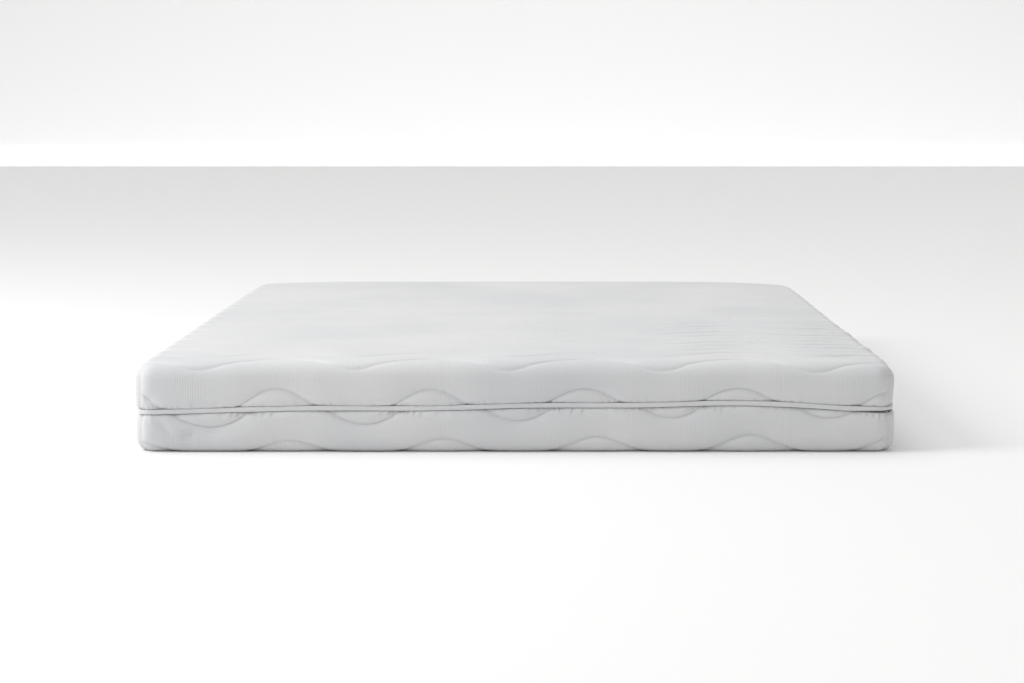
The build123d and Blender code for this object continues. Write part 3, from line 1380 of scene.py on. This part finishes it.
        def shape(share: Array, turn: Array) -> Array:
            """Places on the loops.

            Args:
                share: each vertex's share of the strip's length.
                turn: its share of the way round the section.

            Returns:
                (n, 3) places.
            """
            c, s = np.cos(2 * math.pi * turn), np.sin(2 * math.pi * turn)
            wave = np.cos(2 * math.pi * (share * loops + offset))
            size = 1 - self.coil_swell + self.coil_swell * wave
            inset = outer + self.coil_thick / 2 - self.coil_thick / 2 * size * c
            tip = np.where(s < UNDER, self.coil_tip * wave, 0.0)
            height = (near + far) / 2 + (far - near) / 2 * size * s - tip
            return self.placed(share, inset, height, self.open_length)

        piece = swept_strip(f"{node_name}_loops", loops * 2, 6, shape, self.open_length == 0)
        hand_over(piece, self.half.named("cover"), "zip_coil", node_name)
        return piece

    def binding(self) -> bpy.types.Object:
        """The tape that binds the quilt's raw edge, on the inside.

        Returns:
            The piece.
        """
        node_name = self.half.named("edge_binding")
        outer, near, far = self.ring_size(node_name)

        def shape(share: Array, turn: Array) -> Array:
            """Places on the binding.

            Args:
                share: each vertex's share of the strip's length.
                turn: its share of the way round the section.

            Returns:
                (n, 3) places.
            """
            c, s = np.cos(2 * math.pi * turn), np.sin(2 * math.pi * turn)
            out = squared(c, self.binding_power) * self.binding_thick / 2
            up = squared(s, self.binding_power) * (far - near) / 2
            ripple = self.binding_ripple * np.sin(share * 2 * math.pi * self.binding_ripples)
            inset = outer + self.binding_thick / 2 - out + ripple
            return self.placed(share, inset, (near + far) / 2 + up)

        piece = swept_strip(f"{node_name}_strip", 1800, 8, shape, True)
        hand_over(piece, self.half.named("cover"), "edge_binding", node_name)
        return piece

    def build(self) -> list[bpy.types.Object]:
        """Makes all of the band.

        Returns:
            Its pieces.
        """
        flaps = [self.flap()] if self.half is Half.UPPER else []
        return flaps + [self.tape(), self.coil(), self.binding()]


@dataclass
class CornerSeams:
    """The trimmed edges of one half's four corner seams, standing in towards the core.

    Args:
        half: the upper or the lower half.
        reach: how far a fin stands in.
        thick: its thickness.
        inset: how far its middle lies inside the CAD box's corner.
        waviness: how far it strays along its length.
        ripples: how many swells of that there are in a metre.
        cuts: how many mesh steps it has along its length.
    """

    half: Half
    reach: float = 0.004
    thick: float = 0.0022
    inset: float = 0.0023
    waviness: float = 0.0003
    ripples: float = 160.0
    cuts: int = 11

    def build(self) -> list[bpy.types.Object]:
        """Makes four narrow fins, a little wavy along their length.

        Returns:
            The piece, alone in a list.
        """
        node_name = self.half.named("corner_seams")
        low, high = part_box(node_name)
        bm = bmesh.new()
        for side_x, side_y in ((1, 1), (-1, 1), (-1, -1), (1, -1)):
            cube = bmesh.ops.create_cube(bm, size=1.0)["verts"]
            bmesh.ops.scale(bm, vec=(self.reach, self.thick, high.z - low.z), verts=cube)
            turned = Matrix.Rotation(math.radians(45 * side_x * side_y), 3, "Z")
            bmesh.ops.rotate(bm, verts=cube, matrix=turned)
            x, y = side_x * (high.x - self.inset), side_y * (high.y - self.inset)
            bmesh.ops.translate(bm, vec=(x, y, (low.z + high.z) / 2), verts=cube)
        long_edges = [e for e in bm.edges if abs(e.verts[0].co.z - e.verts[1].co.z) > 0.01]
        bmesh.ops.subdivide_edges(bm, edges=long_edges, cuts=self.cuts, use_grid_fill=True)
        for vert in bm.verts:
            vert.co += self.waviness * noise.noise_vector(vert.co * self.ripples)
        piece = piece_from(bm, f"{node_name}_fins")
        places = vertex_places(piece.data)
        write_uv(piece.data, "fabric", places[:, [0, 2]])
        write_uv(piece.data, "needle", np.full((len(places), 2), NO_STITCHES))
        hand_over(piece, self.half.named("cover"), "quilted_knit", node_name)
        return [piece]


# --------------------------------------------------------------------------- foam core

SLOT_OF_CORE = {
    "inner_sock": "sock_knit", "memory_foam": "memory_foam", "base_foam": "base_foam",
}


@dataclass
class FoamCore:
    """The core: a stockinette sock round two foams that are glued together.

    Args:
        body: the CAD body it rides on.
        plan_radius: rounding of the core's corners seen from above.
        edge_radius: rounding of its edges.
        cut_radius: how sharp a foam's glued edge is.
        sock_slack: how far the sock lies inside its CAD node's box.
        foam_slack: the same for the foams.
        softness: how far its faces swell and sink.
        swell_size: the length of one such swell.
        steps: how many mesh steps there are across and along each piece.
        border_share: the part of its reach, at each edge, that gets half of those steps.
        weld: vertices closer than this are joined where the two halves meet.
    """

    body: str = "core"
    plan_radius: float = CORE_PLAN_RADIUS
    edge_radius: float = CORE_EDGE_RADIUS
    cut_radius: float = 0.0015
    sock_slack: float = 0.0003
    foam_slack: float = 0.0014
    softness: float = 0.0002
    swell_size: float = 0.14
    steps: int = 116
    border_share: float = 0.12
    weld: float = 0.0006

    def soft_block(
        self, node_name: str, upper_radius: float, lower_radius: float, slack: float
    ) -> bpy.types.Object:
        """A soft block with rounded corners that has settled with the cover.

        Args:
            node_name: the CAD node it stands for, and the name of its look.
            upper_radius: rounding of its upper edge.
            lower_radius: rounding of its lower edge.
            slack: how far it lies inside the CAD node's box.

        Returns:
            The piece.
        """
        low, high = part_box(node_name)
        middle = (low.z + high.z) / 2
        whole = bmesh.new()
        rim: Array | None = None
        for half, radius in ((Half.UPPER, upper_radius), (Half.LOWER, lower_radius)):
            form = RoundedForm(
                high.x - slack, high.y - slack, high.z - slack / 4, middle,
                self.plan_radius, radius,
            )
            bm = bmesh.new()
            bmesh.ops.create_grid(bm, x_segments=self.steps, y_segments=self.steps, size=1.0)
            share = np.array([v.co[:2] for v in bm.verts])
            crowded = np.interp(np.abs(share), (0, 0.5, 1), (0, 1 - self.border_share, 1))
            folded = form.fold(np.sign(share) * crowded * form.cloth)
            swells = drift(folded.places * (1, 1, half.value), self.swell_size, seed=31.0)
            places = folded.places + folded.normals * self.softness * swells[:, None]
            places[:, 2] = middle + half.value * (places[:, 2] - middle)
            places[:, 2] += SETTLED.at(places)
            on_rim = np.abs(share).max(axis=1) > 0.999
            rim = places[on_rim] if rim is None else rim
            places[on_rim] = rim
            for vert, place in zip(bm.verts, places):
                vert.co = place
            if half is Half.LOWER:
                bmesh.ops.reverse_faces(bm, faces=bm.faces[:])
            part = bpy.data.meshes.new("half_block")
            bm.to_mesh(part)
            bm.free()
            whole.from_mesh(part)
            bpy.data.meshes.remove(part)
        bmesh.ops.remove_doubles(whole, verts=whole.verts[:], dist=self.weld)
        piece = piece_from(whole, f"{node_name}_block")
        hand_over(piece, self.body, SLOT_OF_CORE[node_name], node_name)
        return piece

    def build(self) -> list[bpy.types.Object]:
        """Makes the sock, both foams and the glue between them.

        Returns:
            Its pieces.
        """
        rounded, cut = self.edge_radius, self.cut_radius
        return [
            self.soft_block("inner_sock", rounded, rounded, self.sock_slack),
            self.soft_block("memory_foam", rounded, cut, self.foam_slack),
            self.soft_block("base_foam", cut, rounded, self.foam_slack),
            *CadPiece("glue_film", "foam_glue").build(),
        ]


# --------------------------------------------------------------------------- studio


class LampKind(Enum):
    """The lamps that the studio has."""

    SUN = "SUN"
    AREA = "AREA"


@dataclass(frozen=True)
class Lamp:
    """A studio lamp.

    Args:
        name: what it does.
        kind: what sort of lamp it is.
        energy: its strength, in watts, or for a sun in watts per square metre.
        size: an area lamp's side in metres, or the angle in radians that a sun fills.
        place: where it hangs.
        aim: where it looks.
    """

    name: str
    kind: LampKind
    energy: float
    size: float
    place: Place
    aim: Place

    def hang(self) -> None:
        """Puts the lamp up and turns it to its aim."""
        data = bpy.data.lights.new(self.name, self.kind.value)
        data.energy = self.energy
        setattr(data, "angle" if self.kind is LampKind.SUN else "size", self.size)
        lamp = bpy.data.objects.new(self.name, data)
        lamp.location = self.place
        lamp.rotation_mode = "QUATERNION"
        lamp.rotation_quaternion = (Vector(self.aim) - Vector(self.place)).to_track_quat("-Z", "Y")
        bpy.context.scene.collection.objects.link(lamp)


@dataclass
class Studio:
    """A pale floor, soft light from above and from the left, and the camera.

    Args:
        floor_reach: how far the floor goes each way.
        sweep: how far in front of its end it starts to curve up.
        sweep_steps: how many mesh steps that curve has.
        surround: strength of the white surroundings.
        lamps: what lights the mattress and the backdrop.
        lens: the camera's focal length in millimetres.
        sensor: its sensor's width in millimetres.
        shift: how far the picture is shifted sideways, as a share of its width.
        eye: where the camera stands.
        pitch: how far it looks down, in degrees.
    """

    floor_reach: float = 45.0
    sweep: float = 18.0
    sweep_steps: int = 24
    surround: float = 0.53
    lamps: tuple[Lamp, ...] = (
        Lamp("overhead", LampKind.SUN, 0.95, 1.0, (-1.0, 1.1, 4.0), (0.0, 0.0, 0.0)),
        Lamp("left_window", LampKind.AREA, 230.0, 3.0, (-5.2, -1.8, 3.6), (-0.7, -0.3, 0.15)),
        Lamp("backdrop_wash", LampKind.AREA, 2600.0, 24.0, (0.0, 18.0, 9.0), (0.0, 45.0, 6.0)),
    )
    lens: float = 75.9
    sensor: float = 36.0
    shift: float = -0.0352
    eye: Place = (0.07, -5.491, 0.752)
    pitch: float = 6.56

    def floor(self) -> None:
        """A wide matt paper floor that curves up far behind the mattress."""
        bm = bmesh.new()
        bmesh.ops.create_grid(bm, x_segments=1, y_segments=1, size=self.floor_reach)
        far = [e for e in bm.edges if all(v.co.y > 0 for v in e.verts)]
        risen = bmesh.ops.extrude_edge_only(bm, edges=far)["geom"]
        up = [g for g in risen if isinstance(g, bmesh.types.BMVert)]
        bmesh.ops.translate(bm, vec=(0, 0, self.floor_reach), verts=up)
        bmesh.ops.bevel(
            bm, geom=far, offset=self.sweep, segments=self.sweep_steps, profile=0.5,
            affect="EDGES", material=-1,
        )
        floor = piece_from(bm, "studio_floor")
        material = bpy.data.materials.new("matt_paper")
        material.use_nodes = True
        shader = material.node_tree.nodes["Principled BSDF"]
        shader.inputs["Base Color"].default_value = linear("f4f4f4")
        shader.inputs["Roughness"].default_value = 0.95
        floor.data.materials.append(material)

    def world(self) -> None:
        """Even white surroundings."""
        world = bpy.data.worlds.new("white_room")
        bpy.context.scene.world = world
        world.use_nodes = True
        background = world.node_tree.nodes["Background"]
        background.inputs["Color"].default_value = linear("fffffe")
        background.inputs["Strength"].default_value = self.surround

    def camera(self) -> None:
        """The eye in front of the foot end, a little above the mattress."""
        data = bpy.data.cameras.new("eye")
        data.lens = self.lens
        data.sensor_width = self.sensor
        data.shift_x = self.shift
        camera = bpy.data.objects.new("eye", data)
        camera.location = self.eye
        camera.rotation_euler = (math.radians(90 - self.pitch), 0, 0)
        bpy.context.scene.collection.objects.link(camera)
        bpy.context.scene.camera = camera

    def build(self) -> None:
        """Sets up the whole studio."""
        self.floor()
        self.world()
        for lamp in self.lamps:
            lamp.hang()
        self.camera()
        bpy.context.scene.view_settings.view_transform = "Standard"


# --------------------------------------------------------------------------- assembly


def cover_halves() -> tuple[QuiltedHalf, QuiltedHalf]:
    """Plans both halves of the cover from the frame's sizes.

    Returns:
        The upper and the lower half.
    """
    knit_low, knit_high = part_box("upper_knit")
    lower_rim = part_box("lower_knit")[1].z
    flap_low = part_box("lower_zip_flap")[1].z
    level = (knit_low.z + lower_rim) / 2
    form = RoundedForm(knit_high.x, knit_high.y, knit_high.z, knit_low.z, PLAN_RADIUS, EDGE_RADIUS)
    hem_form = replace(form, rim=2 * level - flap_low)
    zip_line = ZipLine(form, level)
    upper = QuiltedHalf(
        Half.UPPER, form,
        NeedleRows(
            ROW_SPACING, WAVELENGTH, swing=0.032, crest=0.147, first=-form.cloth[1] - 0.002,
            lean=-0.004,
        ),
        zip_line, ("upper_knit", "upper_wadding", "upper_backing"),
        creases=(Crease((-0.768, -1.0, 0.125), (1.0, 0.0, 0.10), 0.016, 0.0070, 0.0032),),
        folds=LooseFolds(),
    )
    lower = QuiltedHalf(
        Half.LOWER, hem_form,
        NeedleRows(
            ROW_SPACING, WAVELENGTH, swing=0.034, crest=0.009,
            first=-hem_form.cloth[1] - 0.010, lean=-0.013,
        ),
        zip_line, ("lower_knit", "lower_wadding", "lower_backing", "lower_zip_flap"),
        creases=(
            Crease((-0.690, -1.0, 0.152), (0.55, 0.0, -0.25), 0.024, 0.0085, 0.0060),
            Crease((-0.640, -1.0, 0.146), (0.55, 0.0, -0.10), 0.030, 0.0080, 0.0035),
            Crease((-0.735, -1.0, 0.132), (0.45, 0.0, 0.65), 0.032, 0.0090, 0.0030),
        ),
        hem_reach=flap_low - lower_rim,
    )
    return upper, lower


def main() -> None:
    """Builds every sub-assembly in order and reports each piece."""
    logging.basicConfig(level=logging.INFO, format="%(message)s")
    upper, lower = cover_halves()
    form = upper.form
    slider_low, slider_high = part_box("zip_slider")
    side_start = form.corner[0] + form.plan_radius * math.pi / 2 + form.corner[1]
    parked = side_start + (slider_low.y + slider_high.y) / 2
    assemblies = [upper, lower]
    for half, opening in ((Half.UPPER, SLIDER_OPENING), (Half.LOWER, 0.0)):
        assemblies.append(ZipBand(half, upper.zip_line, parked, opening))
        assemblies.append(CornerSeams(half))
        assemblies.append(CadPiece(half.named("zip_stop"), "zip_metal"))
    assemblies.append(CadPiece("zip_slider", "zip_metal"))
    assemblies.append(CadPiece("zip_puller", "zip_metal"))
    assemblies.append(FoamCore())
    for assembly in assemblies:
        for piece in assembly.build():
            log.info("built %s", piece.name)
    Studio().build()


if __name__ == "__main__":
    main()
